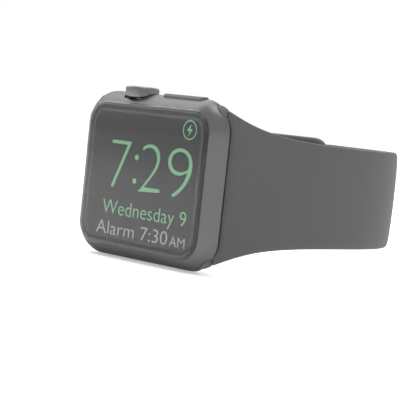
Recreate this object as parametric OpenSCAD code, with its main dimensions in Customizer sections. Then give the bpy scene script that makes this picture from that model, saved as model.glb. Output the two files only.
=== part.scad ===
// Smartwatch on a closed pin-and-tuck sport band, lying on its side: crown on top.
// X runs along the long side of the face, Z points out along the crown, the face looks to -Y.
// The origin is the outermost point of the domed back crystal, where a charger holds the watch.

/* [Case] */
// Length of the case along X
case_l = 42.5; // [42:0.5:44]
// Height of the case along Z, crown left out
case_h = 36.4; // [36:0.2:38]
// Corner radius of the widest outline
corner_r = 7.3; // [7:0.1:8]
// Depth of the case in front of its widest plane
front_depth = 3.6; // [3.5:0.1:3.8]
// Depth of the case behind its widest plane
back_depth = 3.6; // [3.5:0.1:3.7]
// How far the front glass stands out of the case
glass_rise = 0.9; // [0.8:0.1:1.2]
// How far the back crystal stands out of the case
crystal_rise = 3.3; // [3.2:0.1:3.4]
// Radius of the back crystal's rim
crystal_r = 12.6; // [12.4:0.1:12.8]

/* [Crown and side button] */
// Distance of the crown axis from the middle of the case
crown_x = -6.6; // [-7:0.1:-6]
// Outer radius of the knurled crown
crown_r = 3.7; // [3.6:0.05:3.75]
// Height of the crown's end above the middle of the case
crown_top = 19.65; // [19.45:0.1:20.15]
// Number of teeth round the crown
crown_teeth = 80; // [60:4:96]
// Travel of the crown when pressed
crown_travel = 0.2; // [0.15:0.05:0.3]
// Distance of the side button's middle from the middle of the case
button_x = 7.3; // [7:0.1:7.6]
// Length of the side button
button_l = 12.5; // [12:0.1:12.8]
// Width of the side button
button_w = 3.0; // [2.8:0.1:3.1]
// How far the side button stands out of the case
button_proud = 0.4; // [0.35:0.05:0.5]

/* [Band] */
// Half of the loop's width, outside
loop_a = 30.5; // [30:0.5:32]
// How far the loop reaches behind the widest plane of the case
loop_d = 64; // [62:1:68]
// Width of the strap far from the case
strap_w = 22; // [21.5:0.1:22.2]
// Extra width of the strap where it leaves the case
strap_flare = 10.4; // [10:0.1:11]
// Length over which the flare fades out
flare_l = 8.6; // [8:0.2:10]
// Thickness of the strap
strap_t = 2.2; // [2:0.1:2.3]
// Radius of the band slot in each end of the case
slot_r = 1.5; // [1.5:0.01:1.52]
// Width of the neck that joins each lug to its strap
neck_w = 30; // [28:0.5:31]
// Diameter of the fastening pin's head
pin_head_d = 6; // [5.6:0.1:6]

/* [Fits] */
// Radial gap of a running fit
fit_gap = 0.05; // [0.03:0.01:0.08]

/* [Hidden] */
$fn = 48;
back_y = -crystal_rise;
mid_y = back_y - back_depth;
seam_y = mid_y - front_depth;
glass_y = seam_y - glass_rise;

// Outline of the case wall as [inset, depth from the widest plane], front to back
side_front = [[2.45, -3.6], [1.7, -3.0], [1.1, -2.4], [0.65, -1.8], [0.32, -1.2], [0.1, -0.6]];
side_back = [[0, 0], [0.3, 0.7], [0.85, 1.4], [1.6, 2.1], [2.5, 2.8], [3.3, 3.3], [4.2, 3.6]];
side_scale_f = front_depth / 3.6;
side_scale_b = back_depth / 3.6;
side_points = concat(
    [for (p = side_front) [p[0], mid_y + p[1] * side_scale_f]],
    [for (p = side_back) [p[0], mid_y + p[1] * side_scale_b]]);
seam_inset = side_front[0][0];

// Glass edge as [inset from the seam outline, share of the rise]
glass_edge = [[0, 0], [0.08, 0.28], [0.3, 0.5], [0.8, 0.72], [1.6, 0.9], [2.6, 1]];
glass_seat = 0.9;
glass_back_y = seam_y + 0.7;
gasket_t = 0.2;
ledge_y = glass_back_y + gasket_t;
display_t = 0.8;
shield_t = 0.2;
display_back_y = glass_back_y + display_t;
shield_back_y = display_back_y + shield_t;

cavity_x = 16.4;
cavity_z = 15.9;
cavity_r = 4.5;
cavity_back_y = back_y - 1;
inner_y = [shield_back_y + 0.2, cavity_back_y - 0.2];
cover_x = 14.2;
cover_z = 13.2;
cover_r = 6;
cover_t = 0.6;
cover_hole_r = 11.2;
crystal_wall = 1.2;

// Each band slot is a round channel whose throat opens outwards and back at throat_deg
slot_x = case_l / 2 - 2.65;
slot_y = mid_y + 0.2;
throat_deg = 40;
throat_h = 1;
latch_x = slot_x - 0.6;
latch_r = 0.65;
latch_l = 5;
latch_top_y = slot_y + 1.75;
latch_h = 1.6;
release_travel = 0.45;
latch_pocket = release_travel + 0.65;
groove_gap = 0.05;
release_r = 0.8;
release_l = 6;

crown_seat_z = 16.75;
tooth_depth = 0.1;
crown_boss_z = 13.2;
crown_skirt_z = crown_seat_z + crown_travel + 0.1;
shaft_r = 1.5;
bushing_r = 2.05;
shaft_low_z = 10.6;
plate_t = 0.4;
dome_h = 0.45;
bracket_t = 0.5;
bracket_z = shaft_low_z - plate_t - dome_h - bracket_t;
screw_x = 3.6;
screw_r = 0.5;
screw_head_r = 0.7;
stem_r = 0.8;
stem_low_z = 14.4;
button_seat_z = 16.4;
button_travel = 0.35;
button_skirt_z = button_seat_z + button_travel + 0.1;

haptic_x = -7.8;
haptic_z = -9.5;
haptic_l = 14.6;
haptic_h = 7.6;
haptic_t = 3.6;
haptic_y = (inner_y[0] + inner_y[1]) / 2;
haptic_wall = 0.35;
mass_l = 10.4;

speaker_x = 7;
mic_x = -3;
led_spread = 2.3;

// Band loop in X and depth behind the widest plane: two Bezier runs from the +X lug to the back
run_near = [[20.2, 0.2], [24, 3.4], [loop_a, 12.5], [loop_a, 31]];
run_far = [[loop_a, 31], [loop_a, 52.5], [19.5, loop_d], [0, loop_d]];
loop_steps = 160;
station_gap = 3.2;
root_gap = 0.3;
neck_out = 0.7;
neck_in = 0.95;
lug_trim = 0.15;
root_crown = 0.3;
root_l = 10;
neck_reach = 2.9;
// Places along the loop, counted from the +X end of the band
pin_s = 94;
hole_gap = 6.5;
holes_each_way = 3;
long_end_s = 124;
short_end_s = 88;
keeper_s = [99.5, 112];
long_lift = 1.2;
tail_drop = 2.9;
short_sink = 1.3;
hole_r = 2.1;
pin_neck_r = 1.75;
pin_head_t = 1;
plate_r = 4;
backplate_t = 0.5;
tail_w = 19.6;
keeper_w = 24.6;
keeper_slot_w = 20.6;
tip_r = 8;
free_end_r = 5;

// ---------- shared shapes ----------

// Draws a flat shape given in X and Z, and runs it from depth y0 to depth y1
module slab(y0, y1) {
    translate([0, y1, 0]) rotate([90, 0, 0]) linear_extrude(y1 - y0) children();
}

module round_rect(half_x, half_z, r) {
    square([2 * half_x, 2 * (half_z - r)], center = true);
    square([2 * (half_x - r), 2 * half_z], center = true);
    for (sx = [-1, 1], sz = [-1, 1])
        translate([sx * (half_x - r), sz * (half_z - r)]) circle(r);
}

module pill(l, r) {
    square([l - 2 * r, 2 * r], center = true);
    for (s = [-1, 1]) translate([s * (l / 2 - r), 0]) circle(r);
}

// A slab whose edge follows points of [inset, y], the same on all four sides and corners
module edged_slab(half_x, half_z, r, points) {
    first = points[0];
    last = points[len(points) - 1];
    section_x = concat([for (p = points) [half_x - p[0], p[1]]],
        [for (i = [len(points) - 1:-1:0]) [-half_x + points[i][0], points[i][1]]]);
    section_z = concat([for (p = points) [half_z - p[0], p[1]]],
        [for (i = [len(points) - 1:-1:0]) [-half_z + points[i][0], points[i][1]]]);
    linear_extrude(2 * (half_z - r), center = true) polygon(section_x);
    rotate([0, -90, 0]) linear_extrude(2 * (half_x - r), center = true) polygon(section_z);
    corner = concat([[0, first[1]]], [for (p = points) [r - p[0], p[1]]], [[0, last[1]]]);
    for (i = [0:3])
        translate([(i == 0 || i == 3 ? 1 : -1) * (half_x - r), 0, (i < 2 ? -1 : 1) * (half_z - r)])
            rotate([0, 90 * i, 0]) rotate([-90, 0, 0]) rotate_extrude(angle = 90) polygon(corner);
}

module on_crown(z) {
    translate([crown_x, mid_y, z]) children();
}

module on_button(z) {
    translate([button_x, mid_y, z]) children();
}

module block(x, y, z) {
    translate([x[0], y[0], z[0]]) cube([x[1] - x[0], y[1] - y[0], z[1] - z[0]]);
}

module tube(outer, inner, h) {
    difference() {
        cylinder(r = outer, h = h);
        translate([0, 0, -1]) cylinder(r = inner, h = h + 2);
    }
}

// A ring round the Y axis from depth y0 to y1
module ring_y(outer, inner, y0, y1) {
    translate([0, y1, 0]) rotate([90, 0, 0]) tube(outer, inner, y1 - y0);
}

// ---------- case ----------

// A plate that leaves the slot's middle along its throat, from out to in across it
module throat(side, out, in, reach, width) {
    mirror([side > 0 ? 0 : 1, 0, 0]) translate([slot_x, slot_y, 0]) rotate([0, 0, throat_deg])
        translate([0, -out, -width / 2]) cube([reach, out + in, width]);
}

module band_slot(side) {
    translate([side * slot_x, slot_y, -case_h]) cylinder(r = slot_r, h = 2 * case_h);
    throat(side, throat_h, throat_h, 8, 2 * case_h);
    block([side * latch_x - latch_r - groove_gap, side * latch_x + latch_r + groove_gap],
        [slot_y, latch_top_y + groove_gap], [-case_h, case_h]);
    slab(slot_y, 0) translate([side * latch_x, 0]) rotate(90)
        pill(release_l + 2 * fit_gap, release_r + fit_gap);
}

module case_cavity() {
    seat_x = case_l / 2 - seam_inset - glass_seat;
    seat_z = case_h / 2 - seam_inset - glass_seat;
    slab(glass_y, ledge_y) round_rect(seat_x, seat_z, corner_r - seam_inset - glass_seat);
    slab(ledge_y - 1, ledge_y + 1) round_rect(seat_x - 0.9, seat_z - 0.9, 3);
    difference() {
        slab(ledge_y + 0.6, cavity_back_y) round_rect(cavity_x, cavity_z, cavity_r);
        block([crown_x - 4.6, crown_x + 4.6], [glass_y, 0], [crown_boss_z, case_h]);
    }
    slab(cavity_back_y - 1, 0) round_rect(cover_x - 1.2, cover_z - 1.2, cover_r - 1.2);
    slab(back_y - cover_t, 0) round_rect(cover_x, cover_z, cover_r);
}

module case_shell() {
    color([0.5, 0.51, 0.52])
    difference() {
        edged_slab(case_l / 2, case_h / 2, corner_r, side_points);
        case_cavity();
        for (side = [-1, 1]) band_slot(side);
        on_crown(crown_seat_z) cylinder(r = crown_r + 0.1, h = 5);
        on_crown(0) cylinder(r = bushing_r, h = case_h);
        for (s = [-1, 1]) on_crown(crown_boss_z) translate([s * screw_x, 0, -1]) cylinder(r = screw_r, h = 3);
        on_button(button_seat_z) linear_extrude(5) pill(button_l + 2 * fit_gap, button_w / 2 + fit_gap);
        on_button(0) cylinder(r = stem_r + fit_gap, h = case_h);
        for (i = [0, 1]) translate([speaker_x + (i - 0.5) * 4, mid_y, -case_h / 2 - 1])
            linear_extrude(5) pill(3.2, 0.55);
        translate([mic_x, mid_y, -case_h / 2 - 1]) cylinder(r = 0.45, h = 5);
    }
}

module front_glass() {
    half_x = case_l / 2 - seam_inset;
    half_z = case_h / 2 - seam_inset;
    points = [for (i = [len(glass_edge) - 1:-1:0])
        [glass_edge[i][0], seam_y - glass_edge[i][1] * glass_rise]];
    color([0.25, 0.26, 0.27, 0.6]) {
        edged_slab(half_x, half_z, corner_r - seam_inset, points);
        slab(seam_y, glass_back_y)
            round_rect(half_x - glass_seat - fit_gap, half_z - glass_seat - fit_gap,
                corner_r - seam_inset - glass_seat - fit_gap);
    }
}

module glass_gasket() {
    half_x = case_l / 2 - seam_inset - glass_seat - fit_gap;
    half_z = case_h / 2 - seam_inset - glass_seat - fit_gap;
    color([0.08, 0.08, 0.08])
    slab(glass_back_y, ledge_y) difference() {
        round_rect(half_x, half_z, corner_r - seam_inset - glass_seat - fit_gap);
        round_rect(half_x - 0.8, half_z - 0.8, 3);
    }
}

module display_panel() {
    color([0.03, 0.03, 0.04]) slab(glass_back_y, display_back_y) round_rect(16.6, 13.5, 2.6);
}

module display_shield() {
    color([0.6, 0.6, 0.62]) slab(display_back_y, shield_back_y) round_rect(15.8, 12.8, 2.4);
}

module display_flex() {
    color([0.75, 0.45, 0.15])
    translate([3.2, 0, 0]) rotate([90, 0, 90]) linear_extrude(5)
        polygon([[shield_back_y, 8.6], [shield_back_y, 12.2], [inner_y[1] - 1, 12.2], [inner_y[1] - 1, 12.05],
            [shield_back_y + 0.15, 12.05], [shield_back_y + 0.15, 8.6]]);
}

module battery() {
    color([0.72, 0.73, 0.74]) block([1.2, 15.2], inner_y, [-13.4, 6.6]);
}

module battery_flex() {
    color([0.75, 0.45, 0.15]) {
        block([0.6, 6.2], [inner_y[1] - 1, inner_y[1] - 0.85], [6.75, 8.2]);
        block([0.6, 2.6], [inner_y[1] - 1, inner_y[1] - 0.85], [8.2, 9.4]);
    }
}

module system_package() {
    color([0.13, 0.2, 0.16]) {
        block([-15.2, 0.2], [inner_y[0], inner_y[0] + 0.6], [-4.8, 9.2]);
        block([-14.4, -0.6], [inner_y[0] + 0.6, inner_y[0] + 1.8], [-4, 8.4]);
    }
}

// ---------- haptic engine ----------

module haptic_housing() {
    color([0.7, 0.7, 0.71])
    difference() {
        translate([haptic_x, haptic_y, haptic_z]) cube([haptic_l, haptic_t, haptic_h], center = true);
        translate([haptic_x, haptic_y, haptic_z])
            cube([haptic_l, haptic_t, haptic_h] - 2 * haptic_wall * [1, 1, 1], center = true);
    }
}

module haptic_mass() {
    color([0.35, 0.35, 0.37])
    translate([haptic_x, haptic_y, haptic_z])
        cube([mass_l, haptic_t - 2 * haptic_wall - 0.3, haptic_h - 2 * haptic_wall - 0.3], center = true);
}

module haptic_springs() {
    space = (haptic_l - 2 * haptic_wall - mass_l) / 2;
    leaf = space / 2 - 0.05;
    color([0.85, 0.8, 0.6])
    for (side = [-1, 1])
        translate([haptic_x + side * (mass_l + space) / 2, haptic_y, haptic_z])
            for (s = [-1, 1]) rotate([0, s * 14, 0])
                cube([0.2, haptic_t - 2 * haptic_wall - 0.6, haptic_h - 2.4], center = true);
}

// ---------- sound, light ----------

module speaker_module() {
    color([0.1, 0.1, 0.1]) block([1.6, 12.4], [mid_y - 1.5, mid_y + 1.5], [-15.7, -13.9]);
}

module speaker_mesh() {
    color([0.2, 0.2, 0.2])
    for (i = [0, 1]) translate([speaker_x + (i - 0.5) * 4, mid_y, -17.3])
        linear_extrude(0.3) difference() {
            pill(3.1, 0.5);
            for (k = [-2:2]) translate([k * 0.5, 0]) square([0.16, 0.6], center = true);
        }
}

module microphone() {
    color([0.7, 0.65, 0.4]) block([mic_x - 1.4, mic_x + 1.4], [mid_y - 0.9, mid_y + 0.9], [-15.7, -14.6]);
}

module light_sensor() {
    color([0.1, 0.12, 0.1]) block([-1.2, 0.8], [inner_y[0], inner_y[0] + 0.7], [10.4, 12.2]);
}

// ---------- back ----------

module back_cover() {
    color([0.3, 0.31, 0.32])
    slab(back_y - cover_t, back_y) difference() {
        round_rect(cover_x - fit_gap, cover_z - fit_gap, cover_r - fit_gap);
        circle(cover_hole_r);
    }
}

// Dome outline as [radius share, depth], rim first
module dome(r, rise) {
    rotate([-90, 0, 0]) rotate_extrude() polygon([[0, back_y], [r, back_y], [r, back_y + rise * 0.35],
        [r * 0.975, back_y + rise * 0.5], [r * 0.9, back_y + rise * 0.66], [r * 0.77, back_y + rise * 0.81],
        [r * 0.6, back_y + rise * 0.91], [r * 0.35, back_y + rise * 0.98], [r * 0.12, back_y + rise],
        [0, back_y + rise]]);
}

module back_crystal() {
    color([0.16, 0.17, 0.18, 0.8])
    difference() {
        dome(crystal_r, crystal_rise);
        dome(crystal_r - crystal_wall, crystal_rise - crystal_wall);
        sensor_places(0) cylinder(r = 1.65, h = 20, center = true);
    }
}

// Four places round the middle of the back, with their axes along Y at depth y
module sensor_places(y) {
    for (sx = [-1, 1], sz = [-1, 1])
        translate([sx * led_spread, y, sz * led_spread]) rotate([90, 0, 0]) children();
}

module sensor_windows() {
    color([0.3, 0.5, 0.4, 0.7]) sensor_places(-0.12) cylinder(r = 1.6, h = crystal_wall);
}

module sensor_board() {
    color([0.1, 0.3, 0.15]) ring_y(4.5, 0.6, back_y - 0.8, back_y - 0.2);
}

module sensor_leds() {
    color([0.9, 0.95, 0.7]) sensor_places(back_y + 0.8) cylinder(r = 0.8, h = 1);
}

module charging_coil() {
    color([0.8, 0.45, 0.2]) ring_y(10.6, 6.6, back_y - 0.4, back_y + 0.4);
}

module coil_shield() {
    color([0.25, 0.25, 0.26]) ring_y(10.6, 6.4, back_y - 0.8, back_y - 0.4);
}

module alignment_magnet() {
    color([0.75, 0.75, 0.77]) ring_y(6.2, 4.7, back_y - 0.8, back_y + 0.7);
}

// ---------- crown ----------

module crown_bushing() {
    color([0.7, 0.6, 0.35])
    on_crown(crown_boss_z) tube(bushing_r, shaft_r + fit_gap, crown_seat_z - crown_boss_z - 0.1);
}

module crown_bracket() {
    leg_low = bracket_z + bracket_t;
    color([0.65, 0.66, 0.68])
    on_crown(0) difference() {
        union() {
            translate([-4.4, -1.6, bracket_z]) cube([8.8, 3.2, bracket_t]);
            for (s = [-1, 1]) translate([s * 3.65 - 0.75, -1.6, leg_low - 0.1])
                cube([1.5, 3.2, crown_boss_z - leg_low + 0.1]);
        }
        for (s = [-1, 1]) translate([s * screw_x, 0, 0]) {
            cylinder(r = screw_r, h = case_h);
            cylinder(r = screw_head_r, h = bracket_z + 0.4);
        }
    }
}

module bracket_screws() {
    color([0.75, 0.75, 0.77])
    for (s = [-1, 1]) on_crown(bracket_z) translate([s * screw_x, 0, 0]) difference() {
        union() {
            cylinder(r = screw_head_r, h = 0.4);
            cylinder(r = screw_r, h = 4.8);
        }
        translate([0, 0, -0.1]) cylinder(r = 0.35, h = 0.3, $fn = 6);
    }
}

module crown_encoder() {
    color([0.08, 0.08, 0.09]) on_crown(0) translate([1.75, -0.9, 10.9]) cube([1.12, 1.8, 1.4]);
}

module crown_dome() {
    color([0.85, 0.8, 0.65])
    on_crown(bracket_z + bracket_t) cylinder(r1 = 1.5, r2 = 0.6, h = dome_h - 0.02);
}

module crown_plate() {
    color([0.8, 0.8, 0.82])
    on_crown(shaft_low_z - plate_t) cylinder(r = 1.6, h = plate_t - 0.04);
}

module crown_shaft() {
    color([0.78, 0.78, 0.8])
    on_crown(0) difference() {
        translate([0, 0, shaft_low_z]) cylinder(r = shaft_r, h = crown_skirt_z + 0.9 - shaft_low_z);
        for (z = [14.1, 15.3]) translate([0, 0, z]) tube(shaft_r + 1, shaft_r - 0.38, 0.5);
        translate([0, 0, 12.75]) tube(shaft_r + 1, 1.2, 0.3);
        for (k = [0:4]) translate([0, 0, 10.9 + k * 0.34]) tube(shaft_r + 1, shaft_r - 0.08, 0.17);
    }
}

module crown_seals() {
    color([0.05, 0.05, 0.05])
    for (z = [14.35, 15.55]) on_crown(z) rotate_extrude() translate([shaft_r - 0.19, 0]) circle(0.2);
}

module crown_circlip() {
    color([0.6, 0.6, 0.62]) on_crown(12.77) difference() {
        tube(1.85, 1.22, 0.26);
        translate([0, -0.5, -1]) cube([3, 1, 2]);
    }
}

module crown_cap() {
    root_r = crown_r - tooth_depth;
    teeth = [for (i = [0:crown_teeth - 1], part = [0:3])
        let (r = part < 2 ? crown_r : root_r, a = (i + part * 0.25) * 360 / crown_teeth)
        [r * cos(a), r * sin(a)]];
    color([0.47, 0.48, 0.49])
    on_crown(0) difference() {
        union() {
            translate([0, 0, crown_skirt_z]) cylinder(r = root_r, h = 0.3);
            translate([0, 0, crown_skirt_z + 0.3]) linear_extrude(crown_top - crown_skirt_z - 0.8)
                polygon(teeth);
            translate([0, 0, crown_top - 0.5]) cylinder(r1 = root_r, r2 = root_r - 0.35, h = 0.5);
        }
        translate([0, 0, crown_skirt_z - 1]) cylinder(r = shaft_r, h = 1.9);
        translate([0, 0, crown_top - 0.45]) cylinder(r = 2.85, h = 1);
    }
}

module crown_insert() {
    color([0.3, 0.3, 0.31]) on_crown(crown_top - 0.45) {
        cylinder(r = 2.85, h = 0.36);
        translate([0, 0, 0.36]) cylinder(r1 = 2.85, r2 = 2.55, h = 0.1);
    }
}

// ---------- side button ----------

// The case's outer shape, grown a little, to shape what lies flush in it
module case_form(grow) {
    edged_slab(case_l / 2 + grow, case_h / 2 + grow, corner_r + grow, side_points);
}

module side_button() {
    color([0.5, 0.51, 0.52])
    difference() {
        union() {
            intersection() {
                on_button(button_skirt_z) linear_extrude(4) pill(button_l, button_w / 2);
                case_form(button_proud);
            }
            on_button(stem_low_z) cylinder(r = stem_r, h = button_skirt_z - stem_low_z + 0.5);
        }
        on_button(15.25) tube(stem_r + 1, 0.55, 0.3);
        on_button(15.95) tube(stem_r + 1, 0.55, 0.4);
    }
}

module side_button_seal() {
    color([0.05, 0.05, 0.05])
    on_button(16.15) rotate_extrude() translate([stem_r - 0.11, 0]) circle(0.13);
}

module side_button_clip() {
    color([0.6, 0.6, 0.62]) on_button(15.27) difference() {
        tube(1.3, 0.57, 0.26);
        translate([0, -0.25, -1]) cube([3, 0.5, 2]);
    }
}

module side_button_bracket() {
    plate_z = stem_low_z - dome_h - 0.5;
    color([0.65, 0.66, 0.68]) on_button(plate_z) {
        translate([-3, -1.4, 0]) cube([6, 2.8, 0.5]);
        for (s = [-1, 1]) translate([s * 2.6 - 0.4, -1.4, 0.4]) cube([0.8, 2.8, cavity_z - plate_z - 0.4]);
    }
}

module side_button_dome() {
    color([0.85, 0.8, 0.65]) on_button(stem_low_z - dome_h) cylinder(r1 = 1.2, r2 = 0.5, h = dome_h - 0.02);
}

// ---------- band release ----------

module release_button(side) {
    color([0.5, 0.51, 0.52])
    intersection() {
        union() {
            slab(latch_top_y + groove_gap, mid_y + back_depth)
                translate([side * latch_x, 0]) rotate(90) pill(release_l - 1.2, release_r - 0.2);
            slab(latch_top_y + 0.5, back_y)
                translate([side * latch_x, 0]) rotate(90) pill(release_l, release_r);
        }
        case_form(0.04);
    }
}

module release_button_left() {
    release_button(-1);
}

module release_button_right() {
    release_button(1);
}

module neck(side) {
    throat(side, neck_out, neck_in, neck_reach, neck_w);
}

module lug(side) {
    color([0.4, 0.41, 0.42])
    difference() {
        union() {
            intersection() {
                translate([side * slot_x, slot_y, -case_h / 2])
                    cylinder(r = slot_r - fit_gap - 0.01, h = case_h);
                slab(glass_y, 0)
                    round_rect(case_l / 2 - lug_trim, case_h / 2 - lug_trim, corner_r - lug_trim);
            }
            neck(side);
        }
        slab(slot_y - latch_pocket + 0.1, 0) translate([side * latch_x, 0]) rotate(90)
            pill(latch_l + 2 * fit_gap, latch_r + fit_gap);
    }
}

module lug_left() {
    lug(-1);
}

module lug_right() {
    lug(1);
}

module latch(side) {
    color([0.75, 0.76, 0.77])
    slab(latch_top_y - latch_h, latch_top_y) translate([side * latch_x, 0]) rotate(90) pill(latch_l, latch_r);
}

module latch_left() {
    latch(-1);
}

module latch_right() {
    latch(1);
}

module latch_spring(side) {
    color([0.8, 0.8, 0.82])
    for (z = [-1.5, 0, 1.5]) translate([side * latch_x, latch_top_y - latch_h - 0.02, z])
        rotate([90, 0, 0]) cylinder(r = 0.45, h = 0.9);
}

module latch_spring_left() {
    latch_spring(-1);
}

module latch_spring_right() {
    latch_spring(1);
}

// ---------- band ----------

function bezier(p, t) = pow(1 - t, 3) * p[0] + 3 * pow(1 - t, 2) * t * p[1]
    + 3 * (1 - t) * t * t * p[2] + pow(t, 3) * p[3];
function right_run(u) = u <= 1 ? bezier(run_near, u) : bezier(run_far, u - 1);
function flip(p) = [-p[0], p[1]];
function loop_point(u) = [0, mid_y] + (u <= 2 ? right_run(u) : flip(right_run(4 - u)));
loop_line = [for (i = [0:loop_steps]) loop_point(4 * i / loop_steps)];
loop_table = [for (i = 0, s = 0; i <= loop_steps;
    s = s + (i < loop_steps ? norm(loop_line[i + 1] - loop_line[i]) : 0), i = i + 1)
    [s, 4 * i / loop_steps]];
loop_length = loop_table[loop_steps][0];

function at(s) = loop_point(lookup(s, loop_table));
function along(s) = let (d = at(s + 0.3) - at(s - 0.3)) d / norm(d);
function outward(s) = let (t = along(min(max(s, 0.4), loop_length - 0.4))) [t[1], -t[0]];
function blend(a, b, s) = let (t = min(max((s - a) / (b - a), 0), 1)) t * t * (3 - 2 * t);
// Half the width lost where an end of radius r rounds off, at a distance d from that end
function end_loss(r, d) = d >= r ? 0 : r - sqrt(max(r * r - pow(r - d, 2), 0));
function flare(d) = strap_w + strap_flare * exp(-pow(max(d, 0) / flare_l, 1.1));

function long_width(s) = flare(s) - (strap_w - tail_w) * blend(90, 99, s)
    - 2 * end_loss(tip_r, long_end_s - s);
function long_offset(s) = long_lift * blend(76, 87, s) - (long_lift + tail_drop) * blend(98, 113, s);
function short_width(s) = flare(loop_length - s) + (keeper_w - strap_w) * (1 - blend(113, 126, s))
    - 2 * end_loss(free_end_r, s - short_end_s);
function short_offset(s) = -short_sink * (1 - blend(100, 116, s));

// Cross-section as [share of the half width, depth below the outer face], crowned outside
strap_section = [[-1, 1.1], [-0.985, 0.75], [-0.9, 0.4], [-0.5, 0.1], [0, 0], [0.5, 0.1],
    [0.9, 0.4], [0.985, 0.75], [1, 1.1], [0.93, strap_t], [-0.93, strap_t]];

// The strap lies flatter where it meets the case
function crowning(s) = root_crown + (1 - root_crown) * blend(0, root_l, min(s, loop_length - s));
function strap_ring(s, width, offset) = let (p = at(s), n = outward(s), c = crowning(s))
    [for (q = strap_section) let (m = p + n * (offset - (q[1] < 1 ? q[1] * c : q[1])))
        [m[0], m[1], q[0] * width / 2]];

module sweep(rings) {
    k = len(rings[0]);
    last = len(rings) - 1;
    polyhedron(points = [for (r = rings, p = r) p], faces = concat(
        [[for (j = [0:k - 1]) j]],
        [for (i = [0:last - 1], j = [0:k - 1]) [i * k + j, (i + 1) * k + j, (i + 1) * k + (j + 1) % k]],
        [for (i = [0:last - 1], j = [0:k - 1]) [i * k + j, (i + 1) * k + (j + 1) % k, i * k + (j + 1) % k]],
        [[for (j = [k - 1:-1:0]) last * k + j]]), convexity = 6);
}

// Stands a shape on the outer face of the loop at s, its Z pointing outwards
module on_loop(s, offset) {
    p = at(s);
    n = outward(s);
    translate([p[0] + n[0] * offset, p[1] + n[1] * offset, 0])
        rotate([0, 0, atan2(n[1], n[0])]) rotate([0, 90, 0]) children();
}

// The space that the case end sweeps when the band slides along Z
module slide_room(side) {
    reach = case_l / 2 + root_gap;
    outline = concat([[0, glass_y]], [[reach - seam_inset, glass_y]],
        [for (p = side_points) [reach - p[0], p[1]]], [[0, back_y]]);
    linear_extrude(2 * case_h, center = true) polygon([for (p = outline) [side * p[0], p[1]]]);
}

module strap_long() {
    count = ceil(long_end_s / station_gap);
    tip = [0.3, 1.2, 3, 5.5];
    body = [for (i = [0:count - 3]) i * (long_end_s - 8) / (count - 3)];
    places = concat(body, [for (i = [3:-1:0]) long_end_s - tip[i]]);
    color([0.37, 0.38, 0.38])
    difference() {
        sweep([for (s = places) strap_ring(s, long_width(s), long_offset(s))]);
        slide_room(1);
        neck(1);
        for (i = [-holes_each_way:holes_each_way]) {
            s = pin_s + i * hole_gap;
            on_loop(s, long_offset(s)) cylinder(r = hole_r, h = 12, center = true);
        }
    }
}

module strap_short() {
    run = loop_length - short_end_s;
    count = ceil(run / station_gap);
    tip = [0.3, 1.2, 3];
    body = [for (i = [0:count - 2]) short_end_s + 5 + i * (run - 5) / (count - 2)];
    places = concat([for (d = tip) short_end_s + d], body);
    middle_s = (keeper_s[0] + keeper_s[1]) / 2;
    color([0.37, 0.38, 0.38])
    difference() {
        sweep([for (s = places) strap_ring(s, short_width(s), short_offset(s))]);
        slide_room(-1);
        neck(-1);
        on_loop(pin_s, short_offset(pin_s)) cylinder(r = pin_neck_r, h = 12, center = true);
        on_loop(pin_s, short_offset(pin_s) - strap_t + 0.45 - 3) cylinder(r = plate_r, h = 3);
        on_loop(middle_s, short_offset(middle_s)) linear_extrude(14, center = true)
            pill_across(keeper_slot_w, (keeper_s[1] - keeper_s[0]));
    }
}

// A slot as long as the strap is wide, with rounded corners
module pill_across(w, l) {
    r = 2;
    square([w, l - 2 * r], center = true);
    square([w - 2 * r, l], center = true);
    for (sx = [-1, 1], sy = [-1, 1]) translate([sx * (w / 2 - r), sy * (l / 2 - r)]) circle(r);
}

module strap_pin() {
    neck_l = long_lift + short_sink + strap_t - 0.45;
    color([0.75, 0.76, 0.77]) on_loop(pin_s, long_lift) {
        translate([0, 0, 0.12]) cylinder(r1 = pin_head_d / 2, r2 = pin_head_d / 2 - 0.25, h = pin_head_t);
        translate([0, 0, -neck_l]) cylinder(r = pin_neck_r, h = neck_l + 0.2);
    }
}

module pin_backplate() {
    base = short_offset(pin_s) - strap_t + 0.45;
    color([0.75, 0.76, 0.77]) on_loop(pin_s, base - backplate_t) cylinder(r = plate_r, h = backplate_t);
}

case_shell();
front_glass();
glass_gasket();
display_panel();
display_shield();
display_flex();
battery();
battery_flex();
system_package();
haptic_housing();
haptic_mass();
haptic_springs();
speaker_module();
speaker_mesh();
microphone();
light_sensor();
back_cover();
back_crystal();
sensor_windows();
sensor_board();
sensor_leds();
charging_coil();
coil_shield();
alignment_magnet();
crown_bushing();
crown_bracket();
crown_encoder();
crown_dome();
crown_plate();
crown_shaft();
crown_cap();
crown_insert();
crown_seals();
crown_circlip();
bracket_screws();
side_button();
side_button_seal();
side_button_clip();
side_button_bracket();
side_button_dome();
release_button_left();
release_button_right();
lug_left();
lug_right();
latch_left();
latch_right();
latch_spring_left();
latch_spring_right();
strap_long();
strap_short();
strap_pin();
pin_backplate();
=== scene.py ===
import bpy
import bmesh
import math
from mathutils import Matrix, Vector


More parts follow.
